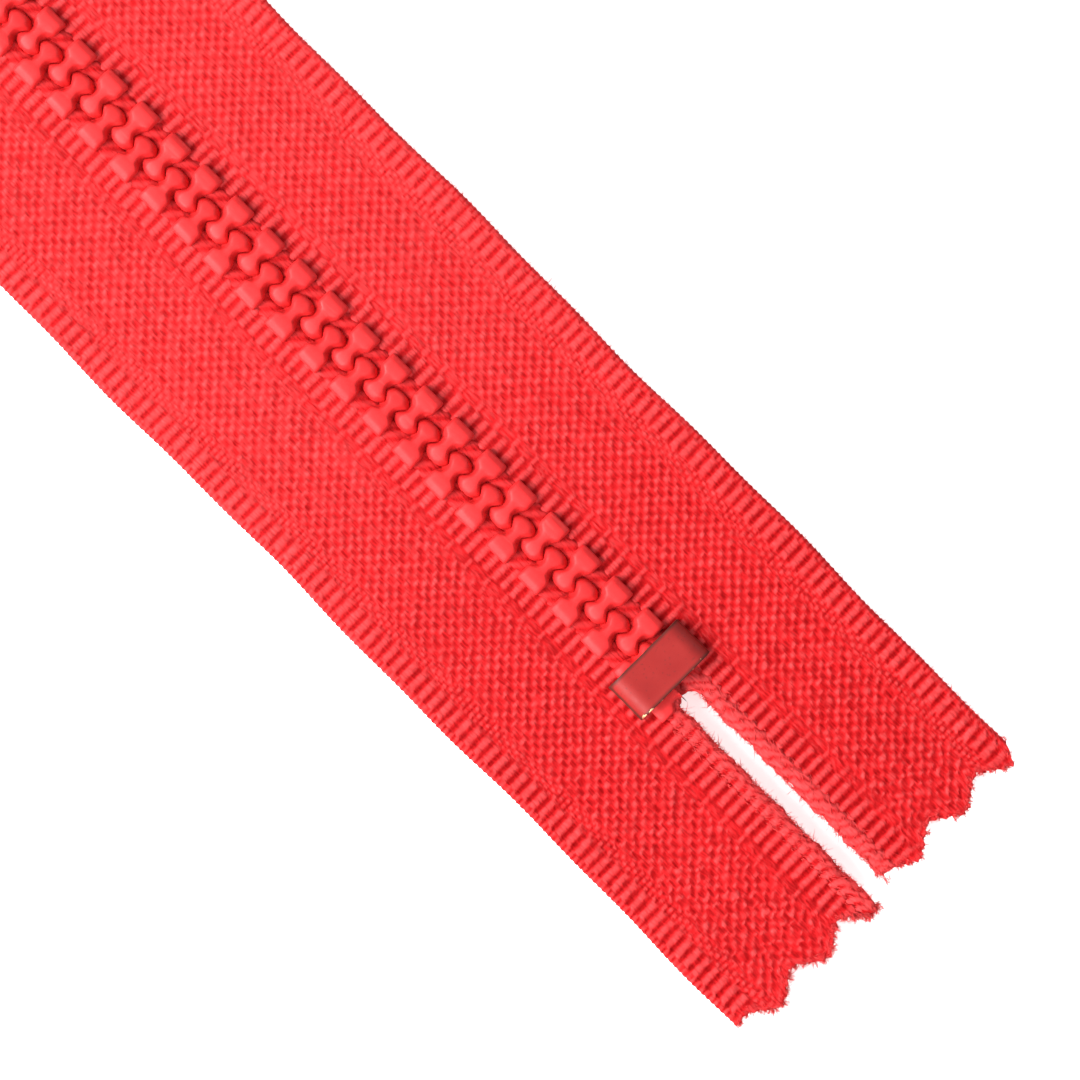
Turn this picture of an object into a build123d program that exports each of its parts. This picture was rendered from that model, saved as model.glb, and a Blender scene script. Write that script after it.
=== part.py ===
from build123d import *
import math
import os

# A closed-end zipper with moulded plastic teeth, lying flat. +Y runs up the closed chain from the
# bottom stop to the slider, +X is towards the right-hand tape, and +Z is the side with the pull tab.
# The origin is the middle of the tapes' overall length, on the plane that the slider lies on.

# ---- Driving dimensions, in mm. Distances along the chain are from the bottom stop's centre. ----

# Teeth. Each row repeats at tooth_pitch, and the two rows are staggered by half a pitch.
tooth_pitch = 3.64
tooth_length = 2.3
tooth_thickness = 2.5
tooth_outer = 2.85  # outer end of a tooth's block, from the chain's centre line
tooth_shoulder = 1.43  # where the block starts to narrow towards the neck
neck_reach = 0.5  # narrowest point of the neck, on the tooth's own side
neck_width = 0.9
head_width = 2.2
head_centre = 0.4  # widest point of the head, past the centre line
head_tip = 1.0
tooth_round = 0.22
tooth_chamfer = 0.16
first_right_tooth = 3.28  # lowest tooth of each row that is free to open
first_left_tooth = first_right_tooth + tooth_pitch / 2
right_tooth_count = 39
left_tooth_count = 38

# Tapes, with a cord woven into the edge that the teeth are moulded on.
tape_outer = 16.0
tape_thickness = 0.5
selvedge_inner = 13.6
selvedge_thickness = 0.6
cord_centre = 2.1
cord_radius = 0.6
bead_inner = 0.87  # below the teeth the cord's edge relaxes into a wider, flatter bead
bead_outer = 2.7
bead_height = 1.0
tail_lengths = {"left": 26.9, "right": 26.2}
upper_tail = 25.0  # tape beyond the top stops
pink_pitch = 5.42  # zigzag of the cut ends
pink_depth = 2.2
lower_pink_phase = 14.7
upper_pink_phase = 13.4
bend_low = -3.3  # the stretch of tape that bends sideways when the chain opens
bend_high = 8.0

# Bottom stop, a strip of sheet metal closed round both rows.
stop_length = 3.8
stop_width = 7.9
stop_sheet = 0.55
stop_bend = 1.25
stop_seam = 1.4
pierce_clearance = 0.05

# Top stops, thick clips pressed round each cord.
top_stop_length = 3.4
top_stop_inner = 1.0
top_stop_outer = 3.4
top_stop_height = 3.1
top_stop_round = 0.5

# Slider body. Distances along the slider are from its lower edge.
slider_length = 13.0
channel_height = 2.8
plate_thickness = 0.9
slot_height = 0.9  # side slots that the tapes run out through
flange_thickness = 0.95
channel_points = [(3.05, 0.0), (3.2, 4.0), (6.2, 10.2), (6.3, 13.0)]  # half width, distance
channel_overcut = 1.0  # the channel's ends are cut across this length, so that they come out open
corner_round = 1.2
slider_edge_round = 0.3
divider_half_width = 1.15
divider_points = [(0.0, 7.0), (divider_half_width, 10.3), (divider_half_width, 12.2), (0.8, 13.0)]
stop_clearance = 0.1

# Cap over the slider. Heights are over the slider's top face.
cap_start = 1.7
cap_end = 11.1
cap_width = 4.6
cap_height = 3.4
cap_wall = 0.6
cap_bend = 1.5
cap_edge_round = 0.25

# Lock spring under the cap, with a hook that drops between two right-hand teeth.
leaf_thickness = 0.25
leaf_width = 2.6
leaf_underside = 1.85
spring_back = 10.25
spring_foot = 8.2
hook_position = 3.0
hook_thickness = 0.6
hook_inner = 1.7
hook_outer = 2.3
hook_tip = -1.45
hook_shelf = 1.2  # length of the leaf's wide front end
window_margin = 0.3
window_travel = 0.45

# Pull tab, on a bar under the cap. Lengths along the tab are from the bar's axis.
pivot_position = 6.4
pivot_height = 1.2
bar_radius = 0.55
tab_thickness = 1.5
tab_droop = 1.2  # degrees below level, so that its far end lies just over the teeth
eye_width = 8.2
eye_window_width = 5.3
eye_window_end = 5.5
tab_end_back = -0.75
tab_half_outline = [(4.1, 5.6), (2.6, 9.0), (3.5, 15.0), (3.5, 30.0)]
tab_corner_round = 1.1
tab_edge_round = 0.35
panel_start = 13.0
panel_end = 22.5
panel_width = 4.2
panel_depth = 0.3
slot_centre = 26.2
slot_length = 4.6
slot_width = 1.9

# ---- Places that follow from them ----

body_half_height = channel_height / 2 + plate_thickness
last_gap = first_right_tooth + (right_tooth_count - 1.5) * tooth_pitch
slider_start = last_gap - hook_position  # the slider's lower edge with the chain closed
top_stop_start = slider_start + slider_length + stop_clearance
upper_end = top_stop_start + top_stop_length + upper_tail
stop_y = (max(tail_lengths.values()) - upper_end) / 2
slider_y = stop_y + slider_start
slider_travel = slider_start - stop_length / 2 - stop_clearance
bead_centre = (bead_inner + bead_outer) / 2
sides = {"left": -1, "right": 1}

chain_plane = Plane(origin=(0, stop_y, body_half_height))
slider_plane = Plane(origin=(0, slider_y, body_half_height))
slider_top = 2 * body_half_height
droop = math.radians(tab_droop)
tab_plane = Plane(
    origin=(0, slider_y + pivot_position, slider_top + pivot_height),
    x_dir=(-1, 0, 0),
    z_dir=(0, -math.sin(droop), math.cos(droop)),
)

print("bottom stop centre y", round(stop_y, 3), "z", body_half_height)
print("slider travel", round(slider_travel, 3))
print("tab pivot y z", round(slider_y + pivot_position, 3), slider_top + pivot_height)
print("spring hinge y", round(slider_y + spring_back - leaf_thickness / 2, 3))
print("chain length", round(slider_start + slider_length + stop_length / 2, 2))

os.makedirs("parts", exist_ok=True)


def cross_plane(distance):
    """A plane across the chain, seen from below it, so that extrude runs down the chain."""
    return Plane(origin=(0, stop_y + distance, body_half_height), x_dir=(1, 0, 0), z_dir=(0, -1, 0))


def side_plane(width):
    """A plane along the slider at x = -width / 2, whose x is +Y and whose y is +Z."""
    return Plane(origin=(-width / 2, slider_y, slider_top), x_dir=(0, 1, 0), z_dir=(1, 0, 0))


# ---- Teeth ----


def make_right_tooth():
    """A right-hand tooth at the origin: a block round the cord, a neck and a lens-shaped head."""
    half = tooth_length / 2
    neck = neck_width / 2
    head = head_width / 2
    with BuildPart() as tooth:
        with BuildSketch() as outline:
            with BuildLine():
                Polyline(
                    (-head_centre, head),
                    (neck_reach, neck),
                    (tooth_shoulder, half),
                    (tooth_outer, half),
                    (tooth_outer, -half),
                    (tooth_shoulder, -half),
                    (neck_reach, -neck),
                    (-head_centre, -head),
                )
                ThreePointArc((-head_centre, -head), (-head_tip, 0), (-head_centre, head))
            make_face()
            fillet(outline.vertices(), radius=tooth_round)
        extrude(amount=tooth_thickness / 2, both=True)
        chamfer(tooth.faces().filter_by(Axis.Z).edges(), length=tooth_chamfer)
        with Locations((cord_centre, 0, 0)):
            Cylinder(cord_radius, 2 * tooth_length, rotation=(90, 0, 0), mode=Mode.SUBTRACT)
            Box(
                tape_outer,
                2 * tooth_length,
                tape_thickness,
                align=(Align.MIN, Align.CENTER, Align.CENTER),
                mode=Mode.SUBTRACT,
            )
    return tooth.part


right_tooth = make_right_tooth()
teeth_by_side = {"right": right_tooth, "left": mirror(right_tooth, about=Plane.YZ)}
open_rows = {
    "right": [first_right_tooth + tooth_pitch * k for k in range(right_tooth_count)],
    "left": [first_left_tooth + tooth_pitch * k for k in range(left_tooth_count)],
}
held_rows = {
    "right": [first_right_tooth - tooth_pitch],
    "left": [first_left_tooth - tooth_pitch, first_left_tooth - 2 * tooth_pitch],
}

for side in sides:
    with BuildPart() as teeth:
        with Locations(*[chain_plane.location * Location((0, d, 0)) for d in open_rows[side]]):
            add(teeth_by_side[side])
    teeth.part.label = side + "_teeth"
    export_step(teeth.part, "parts/" + side + "_teeth.step")

    with BuildPart() as held_teeth:
        with Locations(*[chain_plane.location * Location((0, d, 0)) for d in held_rows[side]]):
            add(teeth_by_side[side])
    held_teeth.part.label = side + "_held_teeth"
    export_step(held_teeth.part, "parts/" + side + "_held_teeth.step")


# ---- Tapes and their cords ----


def pinked_reach(x, length, phase):
    """How far a cut end reaches at x: its full length at the points, less in the notches."""
    turn = ((x - phase) / pink_pitch) % 1
    return length - 2 * pink_depth * min(turn, 1 - turn)


def pinked_edge(sign, length, phase):
    """The zigzag's corners from the cord out to the selvedge, as (x, reach)."""
    corners = [phase + pink_pitch / 2 * k for k in range(-12, 3)]
    on_tape = sorted((x for x in corners if cord_centre < sign * x < tape_outer), key=abs)
    across = [sign * cord_centre, *on_tape, sign * tape_outer]
    return [(x, pinked_reach(x, length, phase)) for x in across]


def tape_web(sign, points):
    """A stretch of tape between the cord and the outer edge, with its thicker selvedge."""
    selvedge_centre = sign * (selvedge_inner + tape_outer) / 2
    with BuildPart() as web:
        with BuildSketch(chain_plane):
            with BuildLine():
                Polyline(*points, close=True)
            make_face()
        extrude(amount=tape_thickness / 2, both=True)
        with BuildSketch(chain_plane):
            with BuildLine():
                Polyline(*points, close=True)
            make_face()
            with Locations((selvedge_centre, 0)):
                Rectangle(tape_outer - selvedge_inner, 3 * upper_end, mode=Mode.INTERSECT)
        extrude(amount=selvedge_thickness / 2, both=True)
    return web.part


for side, sign in sides.items():
    inner_x = sign * cord_centre
    outer_x = sign * tape_outer
    tail_edge = pinked_edge(sign, tail_lengths[side], lower_pink_phase)
    upper_edge = pinked_edge(sign, upper_end, upper_pink_phase)
    tail_end = pinked_reach(sign * bead_centre, tail_lengths[side], lower_pink_phase)
    cord_end = pinked_reach(inner_x, upper_end, upper_pink_phase)

    with BuildPart() as tail_cord:
        with BuildSketch(cross_plane(bend_low)):
            with Locations((sign * bead_centre, 0)):
                Ellipse((bead_outer - bead_inner) / 2, bead_height / 2)
        extrude(amount=tail_end + bend_low)
    tail_cord.part.label = side + "_tail_cord"
    export_step(tail_cord.part, "parts/" + side + "_tail_cord.step")

    with BuildPart() as cord:
        with BuildSketch(cross_plane(cord_end)):
            with Locations((inner_x, 0)):
                Circle(cord_radius)
        extrude(amount=cord_end - bend_low)
    cord.part.label = side + "_cord"
    export_step(cord.part, "parts/" + side + "_cord.step")

    tail_points = [(x, -reach) for x, reach in tail_edge]
    with BuildPart() as tail:
        add(tape_web(sign, [*tail_points, (outer_x, bend_low), (inner_x, bend_low)]))
        add(tail_cord.part, mode=Mode.SUBTRACT)
    tail.part.label = side + "_tape_tail"
    export_step(tail.part, "parts/" + side + "_tape_tail.step")

    bend_corners = [
        (inner_x, bend_low),
        (outer_x, bend_low),
        (outer_x, bend_high),
        (inner_x, bend_high),
    ]
    with BuildPart() as bend:
        add(tape_web(sign, bend_corners))
        add(cord.part, mode=Mode.SUBTRACT)
        with Locations(chain_plane.location * Location((sign * (stop_width - stop_sheet) / 2, 0, 0))):
            Box(
                stop_sheet + 2 * pierce_clearance,
                stop_length + 2 * pierce_clearance,
                2 * tape_thickness,
                mode=Mode.SUBTRACT,
            )
    bend.part.label = side + "_tape_bend"
    export_step(bend.part, "parts/" + side + "_tape_bend.step")

    with BuildPart() as tape:
        add(tape_web(sign, [*upper_edge, (outer_x, bend_high), (inner_x, bend_high)]))
        add(cord.part, mode=Mode.SUBTRACT)
    tape.part.label = side + "_tape"
    export_step(tape.part, "parts/" + side + "_tape.step")

    with BuildPart() as top_stop:
        with BuildSketch(cross_plane(top_stop_start + top_stop_length)):
            with Locations((sign * (top_stop_inner + top_stop_outer) / 2, 0)):
                RectangleRounded(top_stop_outer - top_stop_inner, top_stop_height, top_stop_round)
            with Locations((inner_x, 0)):
                Circle(cord_radius, mode=Mode.SUBTRACT)
            with Locations((sign * (cord_centre + tape_outer / 2), 0)):
                Rectangle(tape_outer, tape_thickness, mode=Mode.SUBTRACT)
        extrude(amount=top_stop_length)
    top_stop.part.label = side + "_top_stop"
    export_step(top_stop.part, "parts/" + side + "_top_stop.step")


# ---- Bottom stop: a closed strip with its seam underneath ----

stop_height = tooth_thickness + 2 * stop_sheet
with BuildPart() as bottom_stop:
    with BuildSketch(cross_plane(stop_length / 2)):
        RectangleRounded(stop_width, stop_height, stop_bend)
        RectangleRounded(
            stop_width - 2 * stop_sheet,
            tooth_thickness,
            stop_bend - stop_sheet,
            mode=Mode.SUBTRACT,
        )
        with Locations((0, -stop_height / 2)):
            Rectangle(stop_seam, 2 * stop_sheet + stop_bend, mode=Mode.SUBTRACT)
    extrude(amount=stop_length)
bottom_stop.part.label = "bottom_stop"
export_step(bottom_stop.part, "parts/bottom_stop.step")


# ---- Slider body: two plates joined by the divider, with flanges that steer the rows ----


def mirrored_outline(half_points):
    """A closed outline from its right-hand half, given from the bottom up."""
    left_half = [(-x, y) for x, y in reversed(half_points)]
    return [*half_points, *[p for p in left_half if p not in half_points]]


plate_points = [(x + flange_thickness, y) for x, y in channel_points]

with BuildPart() as slider_body:
    with BuildSketch(slider_plane) as plate_outline:
        with BuildLine():
            Polyline(*mirrored_outline(plate_points), close=True)
        make_face()
        fillet(plate_outline.vertices(), radius=corner_round)
    extrude(amount=body_half_height, both=True)
    outer_faces = slider_body.faces().filter_by(Axis.Z)
    fillet(outer_faces.edges(), radius=slider_edge_round)
    with BuildSketch(slider_plane):
        with BuildLine():
            Polyline(*mirrored_outline(channel_points), close=True)
        make_face()
        Rectangle(2 * channel_points[0][0], channel_overcut, mode=Mode.ADD)
        with Locations((0, slider_length)):
            Rectangle(2 * channel_points[-1][0], channel_overcut, mode=Mode.ADD)
    extrude(amount=channel_height / 2, both=True, mode=Mode.SUBTRACT)
    with BuildSketch(slider_plane):
        with Locations((0, slider_length / 2)):
            Rectangle(4 * channel_points[-1][0], 2 * slider_length)
    extrude(amount=slot_height / 2, both=True, mode=Mode.SUBTRACT)
    with BuildSketch(slider_plane):
        with BuildLine():
            Polyline(*mirrored_outline(divider_points), close=True)
        make_face()
    extrude(amount=channel_height / 2, both=True)
    with BuildSketch(slider_plane.offset(body_half_height)):
        with Locations(((hook_inner + hook_outer) / 2, hook_position)):
            Rectangle(
                hook_outer - hook_inner + 2 * window_margin,
                hook_thickness + 2 * window_travel,
            )
    extrude(amount=-plate_thickness, mode=Mode.SUBTRACT)
slider_body.part.label = "slider_body"
export_step(slider_body.part, "parts/slider_body.step")


# ---- Cap: a bridge over the lock spring and the pull tab's bar ----

with BuildPart() as slider_cap:
    with BuildSketch(side_plane(cap_width)) as cap_side:
        with BuildLine():
            Polyline(
                (cap_start, 0), (cap_start, cap_height), (cap_end, cap_height), (cap_end, 0), close=True
            )
        make_face()
        fillet(cap_side.vertices().group_by(Axis.Y)[-1], radius=cap_bend)
        with BuildLine():
            FilletPolyline(
                (cap_start + cap_wall, 0),
                (cap_start + cap_wall, cap_height - cap_wall),
                (cap_end - cap_wall, cap_height - cap_wall),
                (cap_end - cap_wall, 0),
                radius=cap_bend - cap_wall,
            )
            Line((cap_end - cap_wall, 0), (cap_start + cap_wall, 0))
        make_face(mode=Mode.SUBTRACT)
    extrude(amount=cap_width)
    cheeks = slider_cap.faces().filter_by(Axis.X)
    outer_edges = cheeks.edges().filter_by(GeomType.LINE).group_by(Axis.Z)[-1]
    fillet(outer_edges, radius=cap_edge_round)
slider_cap.part.label = "slider_cap"
export_step(slider_cap.part, "parts/slider_cap.step")


# ---- Lock spring: a leaf folded back from its foot, with a hook at its front ----

leaf_top = leaf_underside + leaf_thickness
hook_front = hook_position - hook_thickness / 2
with BuildPart() as lock_spring:
    with BuildSketch(side_plane(leaf_width)):
        with BuildLine():
            Polyline(
                (spring_foot, 0),
                (spring_back, 0),
                (spring_back, leaf_top),
                (hook_front, leaf_top),
                (hook_front, leaf_underside),
                (spring_back - leaf_thickness, leaf_underside),
                (spring_back - leaf_thickness, leaf_thickness),
                (spring_foot, leaf_thickness),
                close=True,
            )
        make_face()
    extrude(amount=leaf_width)
    with BuildSketch(slider_plane.offset(body_half_height + leaf_underside)):
        with Locations((-leaf_width / 2, hook_front)):
            Rectangle(leaf_width / 2 + hook_outer, hook_shelf, align=(Align.MIN, Align.MIN))
    extrude(amount=leaf_thickness)
    with BuildSketch(slider_plane.offset(body_half_height + hook_tip)):
        with Locations(((hook_inner + hook_outer) / 2, hook_position)):
            Rectangle(hook_outer - hook_inner, hook_thickness)
    extrude(amount=leaf_top - hook_tip)
lock_spring.part.label = "lock_spring"
export_step(lock_spring.part, "parts/lock_spring.step")


# ---- Pull tab: an eye round the cap with a bar across it, a waist and a grip ----

tab_half_points = [(eye_width / 2, tab_end_back), *tab_half_outline]
with BuildPart() as pull_tab:
    with BuildSketch(tab_plane) as tab_outline:
        with BuildLine():
            Polyline(*mirrored_outline(tab_half_points), close=True)
        make_face()
        fillet(tab_outline.vertices(), radius=tab_corner_round)
        with Locations((0, tab_end_back)):
            Rectangle(eye_window_width, 2 * (eye_window_end - tab_end_back), mode=Mode.SUBTRACT)
        with Locations((0, slot_centre)):
            SlotOverall(slot_length, slot_width, mode=Mode.SUBTRACT)
    extrude(amount=tab_thickness / 2, both=True)
    fillet(pull_tab.faces().filter_by(tab_plane).edges(), radius=tab_edge_round)
    with BuildSketch(tab_plane.offset(tab_thickness / 2)):
        with Locations((0, (panel_start + panel_end) / 2)):
            RectangleRounded(panel_width, panel_end - panel_start, tab_corner_round)
    extrude(amount=-panel_depth, mode=Mode.SUBTRACT)
    with Locations(tab_plane):
        Cylinder(bar_radius, eye_window_width, rotation=(0, 90, 0))
pull_tab.part.label = "pull_tab"
export_step(pull_tab.part, "parts/pull_tab.step")
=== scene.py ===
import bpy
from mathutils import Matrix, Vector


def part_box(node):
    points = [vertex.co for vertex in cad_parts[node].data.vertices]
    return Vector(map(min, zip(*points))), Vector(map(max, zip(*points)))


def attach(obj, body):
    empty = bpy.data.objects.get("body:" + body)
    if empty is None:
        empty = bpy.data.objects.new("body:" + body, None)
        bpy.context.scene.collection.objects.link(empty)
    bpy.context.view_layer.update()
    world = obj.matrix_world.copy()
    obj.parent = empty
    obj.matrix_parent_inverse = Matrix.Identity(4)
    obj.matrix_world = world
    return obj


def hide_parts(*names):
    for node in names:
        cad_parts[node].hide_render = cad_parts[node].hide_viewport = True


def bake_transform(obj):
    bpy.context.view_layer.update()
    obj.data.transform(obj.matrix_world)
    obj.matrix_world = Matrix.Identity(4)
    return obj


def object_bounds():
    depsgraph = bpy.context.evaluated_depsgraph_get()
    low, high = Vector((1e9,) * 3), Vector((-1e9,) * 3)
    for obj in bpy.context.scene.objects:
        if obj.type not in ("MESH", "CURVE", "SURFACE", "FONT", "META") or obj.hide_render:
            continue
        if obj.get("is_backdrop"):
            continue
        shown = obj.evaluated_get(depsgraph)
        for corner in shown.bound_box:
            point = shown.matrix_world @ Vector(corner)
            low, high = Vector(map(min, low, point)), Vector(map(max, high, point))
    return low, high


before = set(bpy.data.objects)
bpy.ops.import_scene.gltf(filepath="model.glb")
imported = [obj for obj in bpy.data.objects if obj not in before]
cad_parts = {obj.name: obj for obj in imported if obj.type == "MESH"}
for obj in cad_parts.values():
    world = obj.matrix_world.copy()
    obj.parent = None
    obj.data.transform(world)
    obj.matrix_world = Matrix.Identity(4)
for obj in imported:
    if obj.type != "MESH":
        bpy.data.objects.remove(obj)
cad_low, cad_high = (list(corner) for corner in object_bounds())

import math

import bpy
import numpy as np
from mathutils import Matrix, Vector

MM = 0.001
SIDES = {"left": -1, "right": 1}

# ---- Places read from the frame, in millimetres ----

stop_low, stop_high = (np.array(corner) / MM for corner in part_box("bottom_stop"))
STOP_X, STOP_Y, MID_Z = (stop_low + stop_high) / 2
STOP_HALF = (stop_high - stop_low) / 2
TOP_END = cad_high[1] / MM - STOP_Y

# ---- Driving dimensions in millimetres; y is from the bottom stop's centre, t from the centre line ----

TOOTH_PITCH = 3.64
TOOTH_ROWS = {
    "right": [-0.36] + [3.28 + TOOTH_PITCH * k for k in range(39)],
    "left": [-2.18, 1.46] + [5.10 + TOOTH_PITCH * k for k in range(38)],
}
CUT_TOOTH_Y = -2.18  # left tooth that the bottom stop was closed over
CUT_TOOTH_HEIGHT = 0.62

TAPE_INNER = 2.3
TAPE_OUTER = 15.95
TAPE_HALF = 0.17
INNER_EXTRA = 0.05
SELVEDGE_INNER = 13.6
SELVEDGE_EXTRA = 0.06
RELIEF = 0.19
TAPE_SPLIT_Y = 78.0
TAPE_STEP = 0.178

PINK_PITCH = 5.42
LOWER_PINK_DEPTH = 2.0
UPPER_PINK_DEPTH = 2.2
LOWER_PEAK = {"left": -26.45, "right": -26.1}
LOWER_PINK_PHASE = 14.95
UPPER_PINK_PHASE = 13.4
CUT_JOIN = 7.0  # the mesh rows follow the cut over this length

BEND_START = 1.9
BEND_END = 14.0

# The weave's bands, by their distance t from the centre line
INNER_RIBS_END = (4.28, 4.42)
GROOVE = {"left": 4.5, "right": 4.4}
GROOVE_DEPTH = {"left": 0.65, "right": 0.4}
FLOATS = (4.38, 5.25)
FLOAT_RAILS = (4.62, 5.04)
FINE_ROWS_START = 12.45
LOOPS_START = (15.25, 15.45)

RIB_PITCH = 1.05
INNER_RIB_PITCH = 1.04
INNER_RIB_SHIFT = 0.3
SELVEDGE_RIB_HALF = 0.39
INNER_RIB_HALF = 0.35
CORD_RIB_HALF = 0.36
FINE_ROW_HALF = 0.25
LOOP_HALF = 0.22
RAIL_HALF = 0.19
FIELD_PITCH_Y = 1.05
FIELD_PITCH_T = 1.14
FIELD_SKEW = {"left": 0.065, "right": 0.03}

CORD_INNER = 0.80
CORD_OUTER = 2.72
CORD_HALF_HEIGHT = 0.50
TAIL_CORD_OUTER = 2.66
TAIL_CORD_HALF_HEIGHT = 0.42
CORD_RING = 36
CORD_STEP = 0.16
CORD_STRANDS = 4
CORD_LAY = 4.6  # length of one full turn of the strands

FIBRE_POINTS = 5
FIBRE_SIDES = 3
FIBRE_COUNTS = {
    "left": {"cut": 4000, "slot": 1300, "cord": 700},
    "right": {"cut": 2400, "slot": 900, "cord": 450},
}
LOWER_LONGEST = {"left": 0.75, "right": 0.4}
UPPER_LONGEST = 0.45
UPPER_CUT_COUNT = 800
TAIL_EDGE_COUNT = 350
EDGE_COUNT = 1500

WAVES = 7  # sine waves in each soft noise
rng = np.random.default_rng(11)


# ---- Mesh helpers ----


def smoothstep(low, high, value):
    share = np.clip((value - low) / (high - low), 0, 1)
    return share * share * (3 - 2 * share)


def band(value, low, high, soft):
    return smoothstep(low - soft, low + soft, value) - smoothstep(high - soft, high + soft, value)


def make_piece(name, verts, faces, material, attributes=None, flat_from=None):
    """verts are in the zipper's own millimetres: x from its centre line, y from the stop, z from mid height.
    Faces from number flat_from on are flat-shaded, such as the walls of a cut edge."""
    placed = (np.asarray(verts, float) + (STOP_X, STOP_Y, MID_Z)) * MM
    mesh = bpy.data.meshes.new(name)
    mesh.from_pydata(placed.tolist(), [], [list(face) for face in faces])
    smooth = np.ones(len(mesh.polygons), bool)
    if flat_from is not None:
        smooth[flat_from:] = False
    mesh.polygons.foreach_set("use_smooth", smooth)
    for key, values in (attributes or {}).items():
        layer = mesh.attributes.new(key, "FLOAT", "POINT")
        layer.data.foreach_set("value", np.asarray(values, np.float32).ravel())
    mesh.materials.append(material)
    mesh.update()
    piece = bpy.data.objects.new(name, mesh)
    bpy.context.scene.collection.objects.link(piece)
    return piece


def grid_faces(rows, columns, wrap=False):
    """Quads of a grid of points stored row by row; wrap joins the last column to the first."""
    index = np.arange(rows * columns).reshape(rows, columns)
    ahead = np.roll(index, -1, axis=1) if wrap else index[:, 1:]
    here = index if wrap else index[:, :-1]
    quads = np.stack([here[:-1], ahead[:-1], ahead[1:], here[1:]], -1)
    return quads.reshape(-1, 4)


def slab_faces(rows, columns):
    """Quads of a closed slab: a top grid, a bottom grid and the four walls between their rims."""
    count = rows * columns
    top = np.arange(count).reshape(rows, columns)
    rim = np.concatenate([top[0, :-1], top[:-1, -1], top[-1, :0:-1], top[:0:-1, 0]])
    following = np.roll(rim, -1)
    walls = np.stack([rim, rim + count, following + count, following], -1)
    upper = grid_faces(rows, columns)
    return np.concatenate([upper, upper[:, ::-1] + count, walls])


def capped_faces(stations, ring):
    """Faces of one closed tube, stored station by station: the quads, then its first and last end."""
    faces = list(map(tuple, grid_faces(stations, ring, wrap=True)))
    faces.append(tuple(range(ring))[::-1])
    faces.append(tuple((stations - 1) * ring + k for k in range(ring)))
    return faces


def tubes(paths, radius, sides):
    """Closed thin tubes along paths, an array of (tube, point, xyz); they narrow to a point at both ends."""
    count, points, _ = paths.shape
    along = np.gradient(paths, axis=1)
    along /= np.linalg.norm(along, axis=2, keepdims=True) + 1e-9
    helper = np.where(np.abs(along[..., 2:]) < 0.8, [0.0, 0.0, 1.0], [1.0, 0.0, 0.0])
    across = np.cross(along, helper)
    across /= np.linalg.norm(across, axis=2, keepdims=True) + 1e-9
    upward = np.cross(along, across)
    taper = np.sqrt(np.clip(np.sin(np.linspace(0.06, math.pi - 0.06, points)), 0, 1))
    width = np.reshape(radius, (-1, 1)) * taper
    turn = np.arange(sides) * 2 * math.pi / sides
    ring = across[:, :, None] * np.cos(turn)[:, None] + upward[:, :, None] * np.sin(turn)[:, None]
    verts = (paths[:, :, None] + ring * width[..., None, None]).reshape(-1, 3)
    one = grid_faces(points, sides, wrap=True)
    steps = (np.arange(count) * points * sides)[:, None, None]
    faces = (one[None] + steps).reshape(-1, 4)
    ends = [np.arange(sides)[::-1], (points - 1) * sides + np.arange(sides)]
    caps = [tuple(end + start) for start in steps.ravel() for end in ends]
    return verts, list(map(tuple, faces)) + caps


def soft_noise(x, y, scale):
    """A smooth wander between about -1 and 1, made of crossed sine waves; the scale alone picks them."""
    draw = np.random.default_rng(int(scale * 1000))
    total = 0
    for _ in range(WAVES):
        heading = draw.uniform(0, 2 * math.pi)
        rate = 2 * math.pi / scale * draw.uniform(0.6, 1.6)
        shift = draw.uniform(0, 2 * math.pi)
        total = total + np.sin(rate * (x * math.cos(heading) + y * math.sin(heading)) + shift)
    return total / math.sqrt(WAVES) / 1.4


# ---- Material helpers ----


def new_material(name):
    material = bpy.data.materials.new(name)
    material.use_nodes = True
    tree = material.node_tree
    tree.nodes.clear()
    output = tree.nodes.new("ShaderNodeOutputMaterial")
    shader = tree.nodes.new("ShaderNodeBsdfPrincipled")
    tree.links.new(shader.outputs["BSDF"], output.inputs["Surface"])
    return material, tree, shader


def add(tree, kind, inputs=None, **settings):
    node = tree.nodes.new(kind)
    for key, value in settings.items():
        setattr(node, key, value)
    for key, value in (inputs or {}).items():
        if isinstance(value, bpy.types.NodeSocket):
            tree.links.new(value, node.inputs[key])
        else:
            node.inputs[key].default_value = value
    return node


def place(tree, scale=(1, 1, 1), turn=(0, 0, 0)):
    coordinates = add(tree, "ShaderNodeTexCoord")
    inputs = {"Vector": coordinates.outputs["Object"], "Scale": scale, "Rotation": turn}
    return add(tree, "ShaderNodeMapping", inputs).outputs["Vector"]


def noise(tree, scale, detail=2.0, stretch=(1, 1, 1), turn=(0, 0, 0), roughness=0.5):
    inputs = {"Vector": place(tree, stretch, turn), "Scale": scale, "Detail": detail, "Roughness": roughness}
    return add(tree, "ShaderNodeTexNoise", inputs).outputs["Fac"]


def ramp(tree, factor, stops):
    node = add(tree, "ShaderNodeValToRGB", {"Fac": factor})
    elements = node.color_ramp.elements
    while len(elements) < len(stops):
        elements.new(0.5)
    for element, (position, colour) in zip(elements, stops):
        element.position = position
        element.color = (*colour, 1)
    return node.outputs["Color"]


def grey(value):
    return (value, value, value)


def mix(tree, factor, one, two, blend="MIX"):
    node = add(tree, "ShaderNodeMix", data_type="RGBA", blend_type=blend)
    for socket, value in zip((node.inputs[0], node.inputs[6], node.inputs[7]), (factor, one, two)):
        if isinstance(value, bpy.types.NodeSocket):
            tree.links.new(value, socket)
        else:
            socket.default_value = (*value, 1) if hasattr(value, "__len__") else value
    return node.outputs[2]


def times(tree, one, two):
    return add(tree, "ShaderNodeMath", {0: one, 1: two}, operation="MULTIPLY").outputs[0]


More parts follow.
